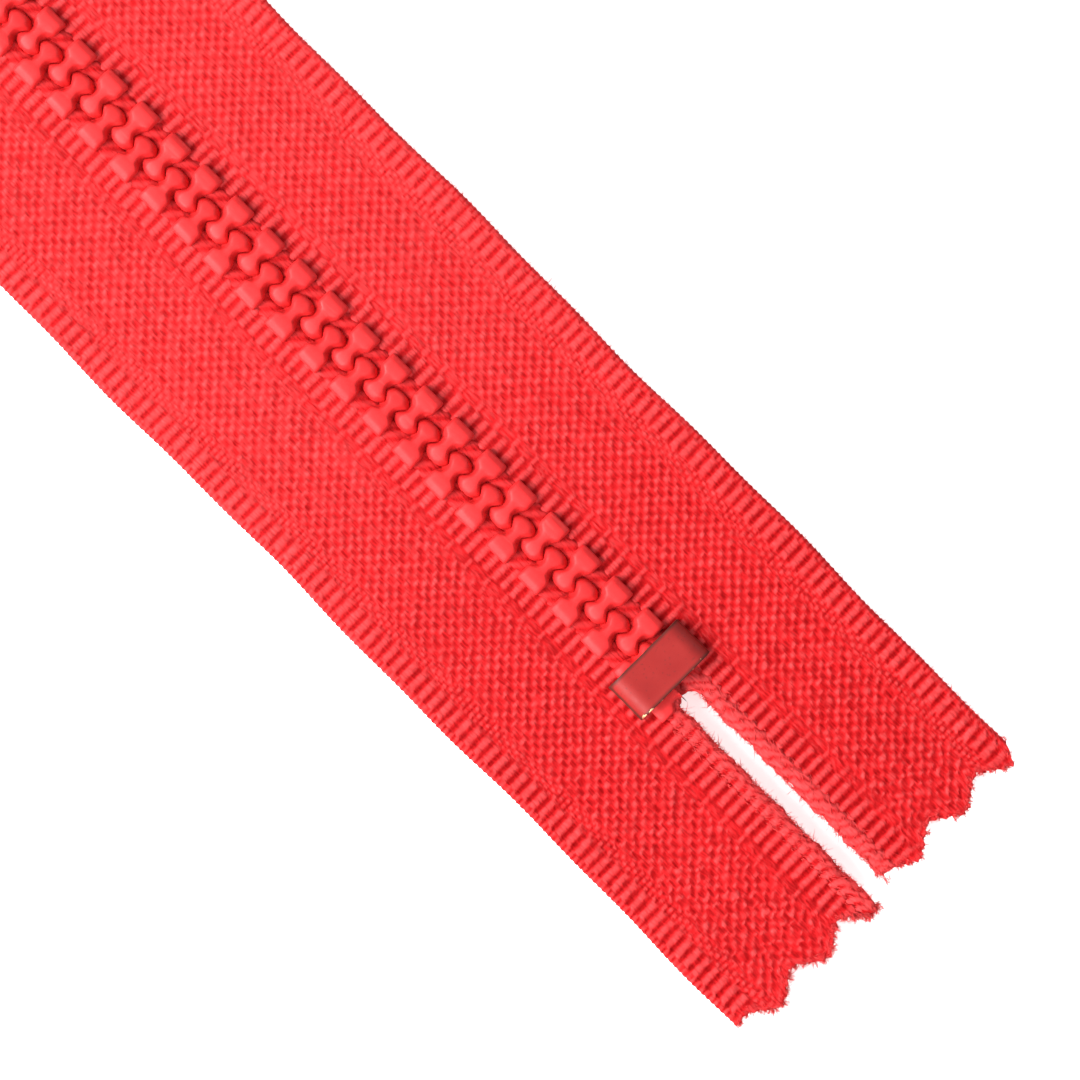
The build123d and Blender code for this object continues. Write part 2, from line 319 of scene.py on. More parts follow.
def bump(tree, height, strength, distance, normal=None):
    inputs = {"Height": height, "Strength": strength, "Distance": distance}
    if normal is not None:
        inputs["Normal"] = normal
    return add(tree, "ShaderNodeBump", inputs).outputs["Normal"]


def attribute(tree, name):
    return add(tree, "ShaderNodeAttribute", attribute_name=name).outputs["Fac"]


# ---- Materials ----

FIBRE_TURN = math.radians(45)
FLOOR_GLOW = 0.60  # painted light: the floor glows faintly, though it is no lamp, so the shadows on it come out white, as for pictures on pure white
# Yarn colours for the gaps, the body and the crowns of the weave: the gap colour is painted shade and the
# crown colour a painted highlight, while the body colour is the yarn's own red. The loose fibres use the
# body, crown and hair colours only as a spread of tones.
PIT_SHADE = (0.27, 0.0008, 0.0018)
BODY = (0.425, 0.0078, 0.0098)
CROWN = (0.57, 0.045, 0.047)
HAIR = (0.66, 0.050, 0.050)
BRASS = (0.70, 0.54, 0.30)
# Dark colour laid along the stop's cut edges, and painted shade on the flanks of its bends.
DARK_EDGE_AND_SHADE = (0.045, 0.013, 0.009)


def yarn_material(name, low, middle, high, fibre_turn):
    """Polyester yarn with fine streaks; its colour follows the weave attribute, which on the tapes and cords
    paints shade in the gaps and a highlight on the crowns.
    """
    material, tree, shader = new_material(name)
    relief = attribute(tree, "weave")
    # Painted shade in the gaps of the weave and painted highlight on its crowns, taken from the relief.
    colour = ramp(tree, relief, [(0.0, low), (0.42, middle), (0.95, high)])
    patches = noise(tree, 190, 3)
    colour = mix(tree, 0.35, colour, ramp(tree, patches, [(0.3, grey(0.78)), (0.7, grey(1.0))]), "MULTIPLY")
    fibres = noise(tree, 4600, 3, (1, 0.18, 1), (0, 0, fibre_turn), 0.65)
    flecks = ramp(tree, fibres, [(0.36, grey(0.62)), (0.62, grey(1.10))])
    colour = mix(tree, 0.8, colour, flecks, "MULTIPLY")
    tree.links.new(colour, shader.inputs["Base Color"])
    shine = ramp(tree, fibres, [(0.3, grey(0.85)), (0.7, grey(0.55))])
    tree.links.new(shine, shader.inputs["Roughness"])
    shader.inputs["Specular IOR Level"].default_value = 0.06
    shader.inputs["Sheen Weight"].default_value = 0.02
    shader.inputs["Sheen Roughness"].default_value = 0.4
    shader.inputs["Sheen Tint"].default_value = (1.0, 0.2, 0.2, 1)
    normal = bump(tree, fibres, 0.8, 0.00012)
    tree.links.new(normal, shader.inputs["Normal"])
    return material


def plastic_material():
    """Injection-moulded acetal: even colour, satin gloss, a faint orange peel and a few rub marks."""
    material, tree, shader = new_material("tooth_plastic")
    shade = noise(tree, 260, 4)
    colour = ramp(tree, shade, [(0.3, (0.51, 0.0130, 0.0150)), (0.7, (0.58, 0.0190, 0.0200))])
    rubs = noise(tree, 1500, 2, (1, 0.12, 1), (0.3, 0.2, 0.9))
    marks = ramp(tree, rubs, [(0.64, grey(0.0)), (0.76, grey(1.0))])
    colour = mix(tree, times(tree, marks, 0.25), colour, (0.68, 0.08, 0.075))
    tree.links.new(colour, shader.inputs["Base Color"])
    gloss = ramp(tree, noise(tree, 700, 3), [(0.3, grey(0.50)), (0.7, grey(0.64))])
    tree.links.new(gloss, shader.inputs["Roughness"])
    shader.inputs["Specular IOR Level"].default_value = 0.26
    shader.inputs["Subsurface Weight"].default_value = 0.12
    shader.inputs["Subsurface Radius"].default_value = (1.0, 0.2, 0.2)
    shader.inputs["Subsurface Scale"].default_value = 0.0005
    peel = bump(tree, noise(tree, 2400, 2), 0.18, 0.00004)
    tree.links.new(peel, shader.inputs["Normal"])
    return material


def enamel_material(name, wear_and_shade):
    """Red enamel on brass, darker and smoother than the plastic; with wear it is bare in spots at the edges,
    darker along its cut edges and painted with shade on the flanks of its bends.
    """
    material, tree, shader = new_material(name)
    cloud = noise(tree, 330, 4)
    colour = ramp(tree, cloud, [(0.25, (0.205, 0.0105, 0.0100)), (0.75, (0.255, 0.0165, 0.0145))])
    specks = ramp(tree, noise(tree, 3800, 2), [(0.30, grey(1.0)), (0.36, grey(0.0))])
    colour = mix(tree, times(tree, specks, 0.6), colour, (0.14, 0.014, 0.013))
    if wear_and_shade:
        # The edge attribute darkens the cut edges and rims, and paints shade on the flanks of the bends.
        edge = attribute(tree, "edge")
        patchy = noise(tree, 1700, 4, turn=(0.2, 0.1, 0.4))
        dark_edge_and_shade = ramp(tree, edge, [(0.25, grey(0.0)), (0.8, grey(1.0))])
        colour = mix(tree, times(tree, dark_edge_and_shade, 0.9), colour, DARK_EDGE_AND_SHADE)
        spots = ramp(tree, patchy, [(0.53, grey(0.0)), (0.60, grey(1.0))])
        bare = times(tree, spots, attribute(tree, "bare"))
        metal = ramp(tree, bare, [(0.45, grey(0.0)), (0.7, grey(1.0))])
        colour = mix(tree, metal, colour, BRASS)
        tree.links.new(metal, shader.inputs["Metallic"])
    tree.links.new(colour, shader.inputs["Base Color"])
    gloss = ramp(tree, noise(tree, 1900, 3), [(0.3, grey(0.42)), (0.7, grey(0.52))])
    tree.links.new(gloss, shader.inputs["Roughness"])
    shader.inputs["Specular IOR Level"].default_value = 0.18
    ripple = bump(tree, noise(tree, 420, 3), 0.05, 0.00008)
    grain = bump(tree, noise(tree, 5200, 2), 0.12, 0.00003, ripple)
    tree.links.new(grain, shader.inputs["Normal"])
    return material


def steel_material():
    """Spring steel: brushed along the leaf."""
    material, tree, shader = new_material("spring_steel")
    lines = noise(tree, 2600, 3, (1, 0.05, 1))
    colour = ramp(tree, lines, [(0.3, grey(0.42)), (0.7, grey(0.62))])
    tree.links.new(colour, shader.inputs["Base Color"])
    gloss = ramp(tree, lines, [(0.3, grey(0.22)), (0.7, grey(0.4))])
    tree.links.new(gloss, shader.inputs["Roughness"])
    shader.inputs["Metallic"].default_value = 1.0
    tree.links.new(bump(tree, lines, 0.2, 0.00002), shader.inputs["Normal"])
    return material


def floor_material():
    material, tree, shader = new_material("studio_paper")
    tone = ramp(tree, noise(tree, 30, 3), [(0.3, grey(0.93)), (0.7, grey(0.95))])
    tree.links.new(tone, shader.inputs["Base Color"])
    shader.inputs["Roughness"].default_value = 0.9
    shader.inputs["Specular IOR Level"].default_value = 0.1
    # Painted light: the paper glows, which whitens its shadows and lights the tapes a little from below.
    shader.inputs["Emission Color"].default_value = (1.0, 1.0, 1.0, 1)
    shader.inputs["Emission Strength"].default_value = FLOOR_GLOW
    return material


YARN = {
    "left": yarn_material("left_yarn", PIT_SHADE, BODY, CROWN, FIBRE_TURN),
    "right": yarn_material("right_yarn", PIT_SHADE, BODY, CROWN, FIBRE_TURN),
}
FUZZ = yarn_material("loose_fibre", BODY, CROWN, HAIR, 0.0)
PLASTIC = plastic_material()
STOP_ENAMEL = enamel_material("stop_enamel", True)
SLIDER_ENAMEL = enamel_material("slider_enamel", False)
STEEL = steel_material()


# ---- Tapes ----


def zigzag(x, phase):
    """0 at the notches of a pinked cut and 1 at its points, a little rounded."""
    turn = ((x - phase) / PINK_PITCH) % 1
    reach = 1 - 2 * np.minimum(turn, 1 - turn)
    return reach - 0.10 * np.exp(-((reach - 1) / 0.10) ** 2) + 0.08 * np.exp(-((reach) / 0.10) ** 2)


def lower_cut(t, side):
    x = SIDES[side] * t
    ragged = 0.09 * np.sin(x * 9.1 + 1.0) + 0.08 * np.sin(x * 17.3) + 0.06 * np.sin(x * 29.0 + 0.5)
    end = LOWER_PEAK[side] + LOWER_PINK_DEPTH * (1 - zigzag(x, LOWER_PINK_PHASE)) + ragged
    corner = smoothstep(14.9, 16.0, t) * (1.3 if side == "right" else 0.3)
    return end + corner


def upper_cut(t, side):
    x = SIDES[side] * t
    ragged = 0.06 * np.sin(x * 8.3) + 0.05 * np.sin(x * 15.9 + 2.0)
    return TOP_END - 0.1 - UPPER_PINK_DEPTH * (1 - zigzag(x, UPPER_PINK_PHASE)) + ragged


def ribs(y, pitch, half_width):
    offset = np.abs((y / pitch) % 1 - 0.5) * pitch
    return np.sqrt(np.clip(1 - (offset / half_width) ** 2, 0, 1))


def scatter(i, j, seed):
    """A fixed random number from 0 to 1 for each whole-number cell."""
    value = np.sin(i * 12.9898 + j * 78.233 + seed * 37.719) * 43758.5453
    return value - np.floor(value)


def birdseye(t, y, side):
    """Bumps in diagonal rows, with pits on a staggered lattice between them; no two bumps are quite alike."""
    p, q = y / FIELD_PITCH_Y, t / FIELD_PITCH_T
    a, b = (p + q, p - q) if side == "right" else (p - q, p + q)
    skew = FIELD_SKEW[side]
    a, b = a + skew * np.sin(2 * math.pi * b), b + skew * np.sin(2 * math.pi * a)
    strand = (0.5 + 0.5 * np.cos(2 * math.pi * b)) ** 0.75
    cross = (0.5 + 0.5 * np.cos(2 * math.pi * a)) ** 1.1
    middle = (0.5 + 0.5 * np.cos(2 * math.pi * a)) * (0.5 + 0.5 * np.cos(2 * math.pi * b))
    crown = 1 + 0.55 * (scatter(np.round(a), np.round(b), 1.0) - 0.55) * middle
    main = strand * (0.73 + 0.27 * np.cos(2 * math.pi * a)) * crown
    under = 0.66 * cross * (0.85 + 0.15 * np.cos(2 * math.pi * b))
    height = np.maximum(main, under) + 0.12 * np.minimum(main, under)
    deep = 0.5 + 0.5 * np.cos(math.pi * (p + q) + (0.0 if side == "right" else 1.2))
    pit = 0.22 * deep - 0.45 * scatter(np.floor(a), np.floor(b), 2.0) ** 2
    return np.clip(height - pit * (1 - strand) * (1 - cross), 0, 1.1)


def float_row(t, y, side):
    """The step between ribs and field: long floats in pairs, boxed in by short crossing ones."""
    cell = (y / (2 * FIELD_PITCH_Y)) % 1 * 2 * FIELD_PITCH_Y
    post = np.sqrt(np.clip(1 - ((cell - 0.28) / 0.26) ** 2, 0, 1))
    rail = 0
    for middle in FLOAT_RAILS:
        level = np.sqrt(np.clip(1 - ((t - middle) / RAIL_HALF) ** 2, 0, 1))
        rail = np.maximum(rail, level * band(cell, 0.68, 1.95, 0.2) * (0.8 + 0.2 * np.cos(4.5 * cell)))
    if side == "left":
        rail = rail * 0.85
    return 0.16 + 0.66 * np.maximum(post, 0.85 * rail)


def fine_rows(t, y):
    column = np.floor(y / (RIB_PITCH / 2))
    bars = ribs(y, RIB_PITCH / 2, FINE_ROW_HALF)
    steps = 0.72 + 0.28 * np.cos(2 * math.pi * (t / 0.62 + 0.5 * (column % 2)))
    return bars * steps


def layer(relief, share, other):
    """The other relief laid over the first one, where share is 1."""
    return relief * (1 - share) + share * other


def inner_ribs(y, half_width):
    return ribs(y + INNER_RIB_SHIFT, INNER_RIB_PITCH, half_width)


def weave(t, y, side):
    """Height of the cloth's face, 0 between the yarns and 1 on their crowns; the cut ends are unravelled."""
    loose = 0.75 + 0.75 * smoothstep(-2.0, 22.0, -y)
    x = SIDES[side] * (t + 40)
    wander_y = y + 0.06 * soft_noise(x, y, 6.0) + loose * 0.11 * soft_noise(x, y, 1.25)
    wander_t = t + 0.04 * soft_noise(x, y, 4.0) + loose * 0.12 * soft_noise(x, y, 1.1)
    rib_y = y + 0.06 * soft_noise(x, y, 6.0) + 0.035 * soft_noise(x, y, 1.25)
    relief = birdseye(wander_t, wander_y, side)
    edge = SELVEDGE_INNER + 0.04 * np.sin(2 * math.pi * y / RIB_PITCH)
    relief = layer(relief, band(wander_t, FINE_ROWS_START, edge, 0.12), fine_rows(wander_t, rib_y))
    selvedge = smoothstep(edge - 0.1, edge + 0.12, t)
    relief = layer(relief, selvedge, ribs(rib_y, RIB_PITCH, SELVEDGE_RIB_HALF))
    loops = (0.12 + 0.88 * ribs(rib_y, RIB_PITCH / 2, LOOP_HALF)) * (0.75 + 0.25 * np.cos(3 * (t - 15.7)))
    relief = layer(relief, smoothstep(*LOOPS_START, t), 0.85 * loops)
    relief = layer(relief, band(wander_t, *FLOATS, 0.07), float_row(wander_t, rib_y, side))
    inner = inner_ribs(rib_y, INNER_RIB_HALF) * smoothstep(2.1, 2.45, t)
    relief = layer(relief, 1 - smoothstep(*INNER_RIBS_END, wander_t), inner)
    groove = np.exp(-((wander_t - GROOVE[side]) / 0.09) ** 2)
    dashes = 0.65 + 0.35 * np.cos(2 * math.pi * y / FIELD_PITCH_Y)
    relief = relief * (1 - groove * dashes * GROOVE_DEPTH[side])
    yarn_tone = 0.90 + 0.05 * soft_noise(x * 0.6, y, 2.6) + loose * 0.09 * soft_noise(x, y, 0.9)
    relief = np.clip(relief * yarn_tone, 0, 1.15)
    # The relief grows shallower up the tape, away from the tail; as the colour follows it, the painted shade
    # in the gaps is lighter there too.
    relief = 1 - (1 - relief) * (0.72 + 0.28 * smoothstep(-40.0, 5.0, -y))
    to_cut = np.minimum(y - lower_cut(t, side), upper_cut(t, side) - y)
    frayed = 1 - smoothstep(0.1, 1.3, to_cut)
    tufts = 0.55 + 0.30 * soft_noise(x, y * 0.6, 0.55) + 0.22 * soft_noise(x, y, 0.38)
    return relief * (1 - 0.75 * frayed) + 0.75 * frayed * np.clip(tufts, 0, 1.1)


def tape_edge(y, side):
    """How far the outer edge wanders from straight, with its small scallops."""
    wave = 0.10 * np.sin(y / 5.3 + SIDES[side]) + 0.06 * np.sin(y / 2.1 + 2.0 * SIDES[side])
    return wave + 0.045 * np.cos(2 * math.pi * y / (RIB_PITCH / 2))


def follow_cuts(t, y, side):
    """The rows near the tape's two ends, moved so that the outermost one lies on the cut."""
    lower_join, upper_join = LOWER_PEAK[side] + CUT_JOIN, TOP_END - CUT_JOIN
    share = np.clip((lower_join - y) / CUT_JOIN, 0, 1)
    y = np.where(y < lower_join, lower_join - share * (lower_join - lower_cut(t, side)), y)
    share = np.clip((y - upper_join) / CUT_JOIN, 0, 1)
    return np.where(y > upper_join, upper_join + share * (upper_cut(t, side) - upper_join), y)


def tape(side, name, start, end):
    """One closed sheet of woven tape between two places along the chain."""
    rows = int(round((end - start) / TAPE_STEP)) + 1
    columns = int(round((TAPE_OUTER - TAPE_INNER) / TAPE_STEP)) + 1
    t, y = np.meshgrid(np.linspace(TAPE_INNER, TAPE_OUTER, columns), np.linspace(start, end, rows))
    y = follow_cuts(t, y, side)
    face, back = weave(t, y, side), weave(t + 0.57, y + 0.52, side)
    half = TAPE_HALF + SELVEDGE_EXTRA * smoothstep(SELVEDGE_INNER - 0.2, SELVEDGE_INNER + 0.3, t)
    half = half + INNER_EXTRA * (1 - smoothstep(2.6, 4.2, t))
    rim = np.sqrt(np.clip(1 - np.clip((t - (TAPE_OUTER - 0.45)) / 0.47, 0, 1) ** 2, 0, 1))
    sway = 0.10 * np.sin(y / 9.0 + SIDES[side]) * smoothstep(4, 12, t)
    across = t + tape_edge(y, side) * smoothstep(12.0, TAPE_OUTER, t)
    top = sway + (half + RELIEF * (face - 0.25)) * rim
    bottom = sway - (half + RELIEF * (back - 0.25)) * rim
    x = SIDES[side] * across
    verts = np.concatenate([np.stack([x, y, top], -1), np.stack([x, y, bottom], -1)]).reshape(-1, 3)
    faces = slab_faces(rows, columns)
    if SIDES[side] < 0:
        faces = faces[:, ::-1]
    # The weave heights also colour the yarn: painted shade in the gaps, painted highlight on the crowns.
    tone = np.concatenate([face, back])
    walls_from = 2 * (rows - 1) * (columns - 1)
    return make_piece(name, verts, faces, YARN[side], {"weave": tone}, walls_from)


def cord(side):
    """The cord in the tape's edge: round inside the teeth, wider and flatter below the bottom stop."""
    y = np.arange(LOWER_PEAK[side], TOP_END - 0.1, CORD_STEP)[:, None]
    angle = np.arange(CORD_RING)[None] * 2 * math.pi / CORD_RING
    tail = 1 - smoothstep(-1.8, 1.8, y)
    wander = 0.09 * np.sin(y * 1.3 + SIDES[side]) + 0.06 * np.sin(y * 3.1 + 1.0)
    slot_edge = 0.10 + 0.80 * smoothstep(2.5, 3.5, -y) + wander * smoothstep(3.0, 4.0, -y)
    inner = CORD_INNER * (1 - tail) + slot_edge * tail
    outer = CORD_OUTER * (1 - tail) + TAIL_CORD_OUTER * tail
    centre, half_width = (inner + outer) / 2, (outer - inner) / 2
    half_height = CORD_HALF_HEIGHT * (1 - tail) + TAIL_CORD_HALF_HEIGHT * tail
    unlaid = (0.5 * soft_noise(angle, y, 3.0) + 0.3 * soft_noise(angle, y, 1.3)) * tail
    twist = SIDES[side] * 2 * math.pi * y / CORD_LAY + unlaid
    lobe = np.abs(np.cos((angle - twist) * CORD_STRANDS / 2)) ** 0.6
    if side == "left":
        bound = smoothstep(1.35, 1.95, centre + half_width * np.cos(angle)) * tail
        lobe = layer(lobe, bound, inner_ribs(y, CORD_RIB_HALF))
    end_lumps = smoothstep(0.0, 3.5, LOWER_PEAK[side] + 5.0 - y) * (1.0 if side == "left" else 0.5)
    fluff = 0.05 * soft_noise(angle * 2.5, y * 2.2, 1.6) + 0.05 * soft_noise(angle * 0.7, y, 0.45) * tail
    fluff = fluff + 0.11 * end_lumps * soft_noise(angle * 0.5, y, 0.8)
    swell = 0.80 + 0.22 * lobe + fluff
    t = centre + half_width * np.cos(angle) * swell
    z = half_height * np.sin(angle) * swell
    y = follow_cuts(t, np.broadcast_to(y, t.shape), side)
    verts = np.stack([SIDES[side] * t, y, z], -1).reshape(-1, 3)
    faces = capped_faces(len(y), CORD_RING)
    ends_from = len(faces) - 2
    if SIDES[side] > 0:
        faces = [face[::-1] for face in faces]
    # Painted shade and highlight: the cord is darker between its strands and lighter on them, and darker
    # inside the teeth than in the tail.
    tone = 0.12 + 0.10 * tail + (0.50 + 0.30 * tail) * lobe
    return make_piece(f"{side}_twisted_cord", verts, faces, YARN[side], {"weave": tone}, ends_from)


# ---- Loose fibres ----


def fibre_paths(base, heading, length, curl):
    """Curved fibres from base points: heading is a unit direction, curl how far each one bends aside."""
    share = np.linspace(0, 1, FIBRE_POINTS)[None, :, None]
    side_way = np.cross(heading, rng.normal(size=heading.shape))
    side_way /= np.linalg.norm(side_way, axis=1, keepdims=True) + 1e-9
    reach = heading[:, None] * (length[:, None, None] * share)
    aside = side_way[:, None] * (curl * length)[:, None, None] * share**2
    return base[:, None] + reach + aside


def unit(vectors):
    return vectors / (np.linalg.norm(vectors, axis=1, keepdims=True) + 1e-9)


def frayed_end(side, end, count, longest):
    """Fibres standing out of a pinked cut, in small tufts."""
    in_cord = rng.uniform(0, 1, count) < 0.32
    t = np.where(in_cord, rng.uniform(0.95, 3.4, count), rng.uniform(1.2, 15.9, count))
    t = t + 0.12 * np.sin(t * 12)
    x = SIDES[side] * t
    cut = lower_cut(t, side) if end == "lower" else upper_cut(t, side)
    outward = -1 if end == "lower" else 1
    ahead = lower_cut(t + 0.05, side) if end == "lower" else upper_cut(t + 0.05, side)
    slope = (ahead - cut) / 0.05 * SIDES[side]
    normal = np.stack([-slope * outward * 0.8, np.full(count, 1.0 * outward), np.zeros(count)], -1)
    spread = np.stack([rng.normal(0, 0.45, count), rng.normal(0, 0.25, count), rng.normal(0, 0.3, count)], -1)
    heading = unit(unit(normal) + spread)
    base = np.stack([x, cut - outward * rng.uniform(0.0, 0.5, count), rng.uniform(-0.2, 0.26, count)], -1)
    length = 0.25 + rng.gamma(2.0, longest / 4, count).clip(0, longest)
    tufts = 0.6 + 0.4 * np.sin(t * 7.5)
    return fibre_paths(base, heading, length * tufts, rng.normal(0, 0.5, count))


def slot_fuzz(side, count):
    """Short fibres along the cord's free edge, between the tails."""
    y = rng.uniform(LOWER_PEAK[side] + 1.0, -3.0, count)
    x = SIDES[side] * (0.95 + rng.uniform(0, 0.3, count))
    base = np.stack([x, y, rng.uniform(-0.25, 0.3, count)], -1)
    inward = -SIDES[side] * rng.uniform(0.1, 1.0, count)
    heading = unit(np.stack([inward, rng.normal(0, 0.9, count), rng.normal(0.1, 0.35, count)], -1))
    length = 0.15 + rng.gamma(2.0, 0.09, count).clip(0, 0.6)
    return fibre_paths(base, heading, length, rng.normal(0, 0.6, count))


def cord_fuzz(side, count):
    """Hairs that lie along the loosened cord below the bottom stop, mostly following its twist."""
    y = rng.uniform(LOWER_PEAK[side] + 0.8, -2.6, count)
    around = rng.uniform(0.1, math.pi - 0.1, count)
    t = 1.87 + 0.85 * np.cos(around)
    base = np.stack([SIDES[side] * t, y, 0.36 * np.sin(around)], -1)
    sweep = rng.normal(0.9, 0.5, count)
    aside, rise = -SIDES[side] * np.sin(around) * sweep, 0.4 * np.cos(around) * sweep
    tangent = np.stack([aside, np.full(count, -1.0), rise], -1)
    lift = np.stack([np.zeros(count), np.zeros(count), rng.uniform(-0.05, 0.2, count)], -1)
    heading = unit(unit(tangent) + lift)
    length = 0.35 + rng.gamma(2.0, 0.16, count).clip(0, 0.8)
    return fibre_paths(base, heading, length, rng.normal(0, 0.35, count))


def edge_fuzz(side, y_low, y_high, count):
    """Very short fibres that soften the outer edge."""
    y = rng.uniform(y_low, y_high, count)
    x = SIDES[side] * (TAPE_OUTER - 0.12 + tape_edge(y, side))
    base = np.stack([x, y, rng.uniform(-0.1, 0.16, count)], -1)
    outward = SIDES[side] * rng.uniform(0.1, 0.9, count)
    heading = unit(np.stack([outward, rng.normal(0, 0.9, count), rng.normal(0.1, 0.4, count)], -1))
    length = 0.12 + rng.gamma(2.0, 0.05, count).clip(0, 0.3)
    return fibre_paths(base, heading, length, rng.normal(0, 0.6, count))


def fibres(name, groups, body):
    paths = np.concatenate(groups)
    thickness = rng.uniform(0.013, 0.032, len(paths))
    verts, faces = tubes(paths, thickness, FIBRE_SIDES)
    tone = np.repeat(rng.uniform(0.45, 1.0, len(paths)), len(verts) // len(paths))
    piece = make_piece(name, verts, faces, FUZZ, {"weave": tone})
    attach(piece, body)
    return piece


# ---- Teeth ----

# Each station: distance from the centre line, half width, half height, how far the rim drops below the middle
BLOCK_STATIONS = [
    (2.87, 0.93, 0.66, 0.00), (2.86, 1.01, 0.78, 0.00), (2.81, 1.08, 0.88, 0.00), (2.72, 1.12, 0.97, 0.00),
    (2.58, 1.13, 1.06, 0.00), (2.44, 1.13, 1.16, 0.00), (2.34, 1.13, 1.21, 0.00), (2.22, 1.13, 1.24, 0.00),
    (2.00, 1.13, 1.25, 0.00), (1.80, 1.13, 1.25, 0.00), (1.66, 1.12, 1.25, 0.00), (1.56, 1.08, 1.24, 0.01),
    (1.47, 1.00, 1.23, 0.02), (1.38, 0.88, 1.22, 0.03),
]
NECK_STATIONS = [
    (1.28, 0.75, 1.21, 0.04), (1.15, 0.62, 1.20, 0.04), (1.00, 0.52, 1.20, 0.04), (0.80, 0.46, 1.20, 0.04),
    (0.60, 0.45, 1.20, 0.05), (0.45, 0.47, 1.20, 0.07), (0.30, 0.53, 1.20, 0.12), (0.15, 0.64, 1.20, 0.19),
]
HEAD_STATIONS = [
    (0.02, 0.77, 1.19, 0.26), (-0.10, 0.89, 1.18, 0.31), (-0.22, 1.00, 1.16, 0.35),
    (-0.32, 1.07, 1.14, 0.37), (-0.40, 1.095, 1.12, 0.37), (-0.48, 1.06, 1.10, 0.36),
    (-0.58, 0.97, 1.07, 0.33), (-0.70, 0.83, 1.02, 0.28), (-0.81, 0.66, 0.96, 0.22),
    (-0.90, 0.47, 0.88, 0.15), (-0.96, 0.28, 0.78, 0.08), (-0.99, 0.12, 0.62, 0.02),
]
TOOTH_STATIONS = BLOCK_STATIONS + NECK_STATIONS + HEAD_STATIONS
BLOCK_POWER, HEAD_POWER = 2 / 5.2, 2 / 3.6  # the block's section is squarer than the rest's
BLOCK_END = 1.3
TOOTH_RING = 40
TOOTH_SCATTER = 0.012  # how far the teeth stray from their places
TOOTH_HEIGHT_SCATTER = 0.01
TONGUE_HALF_WIDTH = 0.5
TOOTH_LEDGE = 0.17  # the teeth come closest at mid height, where they bear on each other
TOOTH_WEB = 0.42  # how far a web at mid height fills the pocket beside the neck, so no floor shows through


def tooth_rings():
    """One tooth as rings of points from its outer end to its tip: (station, ring, t y z)."""
    angle = np.arange(TOOTH_RING) * 2 * math.pi / TOOTH_RING
    rings = []
    for t, width, height, drop in TOOTH_STATIONS:
        power = BLOCK_POWER if t > BLOCK_END else HEAD_POWER
        y = width * np.sign(np.cos(angle)) * np.abs(np.cos(angle)) ** power
        z = height * np.sign(np.sin(angle)) * np.abs(np.sin(angle)) ** power
        slope = smoothstep(min(TONGUE_HALF_WIDTH, 0.7 * width), max(width, 0.1) * 1.02, np.abs(y))
        z = z * (1 - drop / height * slope)
        ledge = TOOTH_LEDGE * np.exp(-((z / 0.62) ** 2))
        y = y + np.sign(np.cos(angle)) * ledge * smoothstep(-1.6, -1.3, -t) * min(1.0, width / 0.4)
        web = TOOTH_WEB * np.exp(-((z / 0.25) ** 2)) * band(t, 0.42, 1.25, 0.14)
        y = y + np.sign(np.cos(angle)) * web
        reach = ledge * (smoothstep(0.3, 0.9, -t) + band(t, 1.1, 1.6, 0.1))
        rings.append(np.stack([t - reach, y, z], -1))
    return np.array(rings)


def teeth(side):
    rings = tooth_rings()
    stations = len(TOOTH_STATIONS)
    tooth = capped_faces(stations, TOOTH_RING)
    if SIDES[side] < 0:
        tooth = [face[::-1] for face in tooth]
    verts, faces = [], []
    for number, y in enumerate(TOOTH_ROWS[side]):
        one = rings.reshape(-1, 3).copy()
        if side == "left" and y == CUT_TOOTH_Y:
            one[:, 2] *= CUT_TOOTH_HEIGHT
            one[:, 0] = np.maximum(one[:, 0], 0.2)
        lean = rng.normal(0, TOOTH_SCATTER)
        x = SIDES[side] * (one[:, 0] + rng.normal(0, TOOTH_SCATTER))
        z = one[:, 2] + rng.normal(0, TOOTH_HEIGHT_SCATTER)
        verts.append(np.stack([x, one[:, 1] + y + lean * one[:, 0], z], -1))
        start = number * stations * TOOTH_RING
        faces.extend(tuple(start + index for index in face) for face in tooth)
    return make_piece(f"{side}_moulded_teeth", np.concatenate(verts), faces, PLASTIC)


# ---- Bottom stop ----


STOP_SHEET = 0.55
STOP_BEND = 1.50
STOP_SEAM = 0.7  # half the gap underneath
STOP_CORNER = 0.10  # rounding of the sheet's cut edges
SEAM_STEPS, BEND_STEPS, CORNER_STEPS, FLAT_STEPS = 6, 12, 4, 10


def stop_route():
    """The strip's outer line, from one lip of the seam round to the other: x, z and the outward normal."""
    wide, high = STOP_HALF[0] - STOP_BEND, STOP_HALF[2]
    half = [(x, -high, 0.0, -1.0) for x in np.linspace(STOP_SEAM, wide, SEAM_STEPS + 1)]
    for centre_z, first in ((STOP_BEND - high, -90), (high - STOP_BEND, 0)):
        for k in range(1, BEND_STEPS + 1):
            turn = math.radians(first + 90 * k / BEND_STEPS)
            normal = (math.cos(turn), math.sin(turn))
            half.append((wide + STOP_BEND * normal[0], centre_z + STOP_BEND * normal[1], *normal))
    half += [(wide * (1 - k / BEND_STEPS), high, 0.0, 1.0) for k in range(1, BEND_STEPS + 1)]
    return np.array(half + [(-x, z, -nx, nz) for x, z, nx, nz in half[-2::-1]])


def stop_profile():
    """The sheet's section, with rounded corners: rows of y and the height above the outer line."""
    straight = STOP_HALF[1] - STOP_CORNER
    profile = []
    for y_sign, n_sign, first in ((1, 1, 0), (-1, 1, 90), (-1, -1, 180), (1, -1, 270)):
        for k in range(CORNER_STEPS + 1):
            turn = math.radians(first + 90 * k / CORNER_STEPS)
            y = y_sign * straight + STOP_CORNER * math.cos(turn)
            middle = -STOP_SHEET / 2 + n_sign * (STOP_SHEET / 2 - STOP_CORNER)
            profile.append((y, middle + STOP_CORNER * math.sin(turn)))
        if y_sign == n_sign:
            flat = 0.0 if n_sign > 0 else -STOP_SHEET
            profile += [(y_sign * straight * (1 - 2 * k / FLAT_STEPS), flat) for k in range(1, FLAT_STEPS)]
    return np.array(profile)


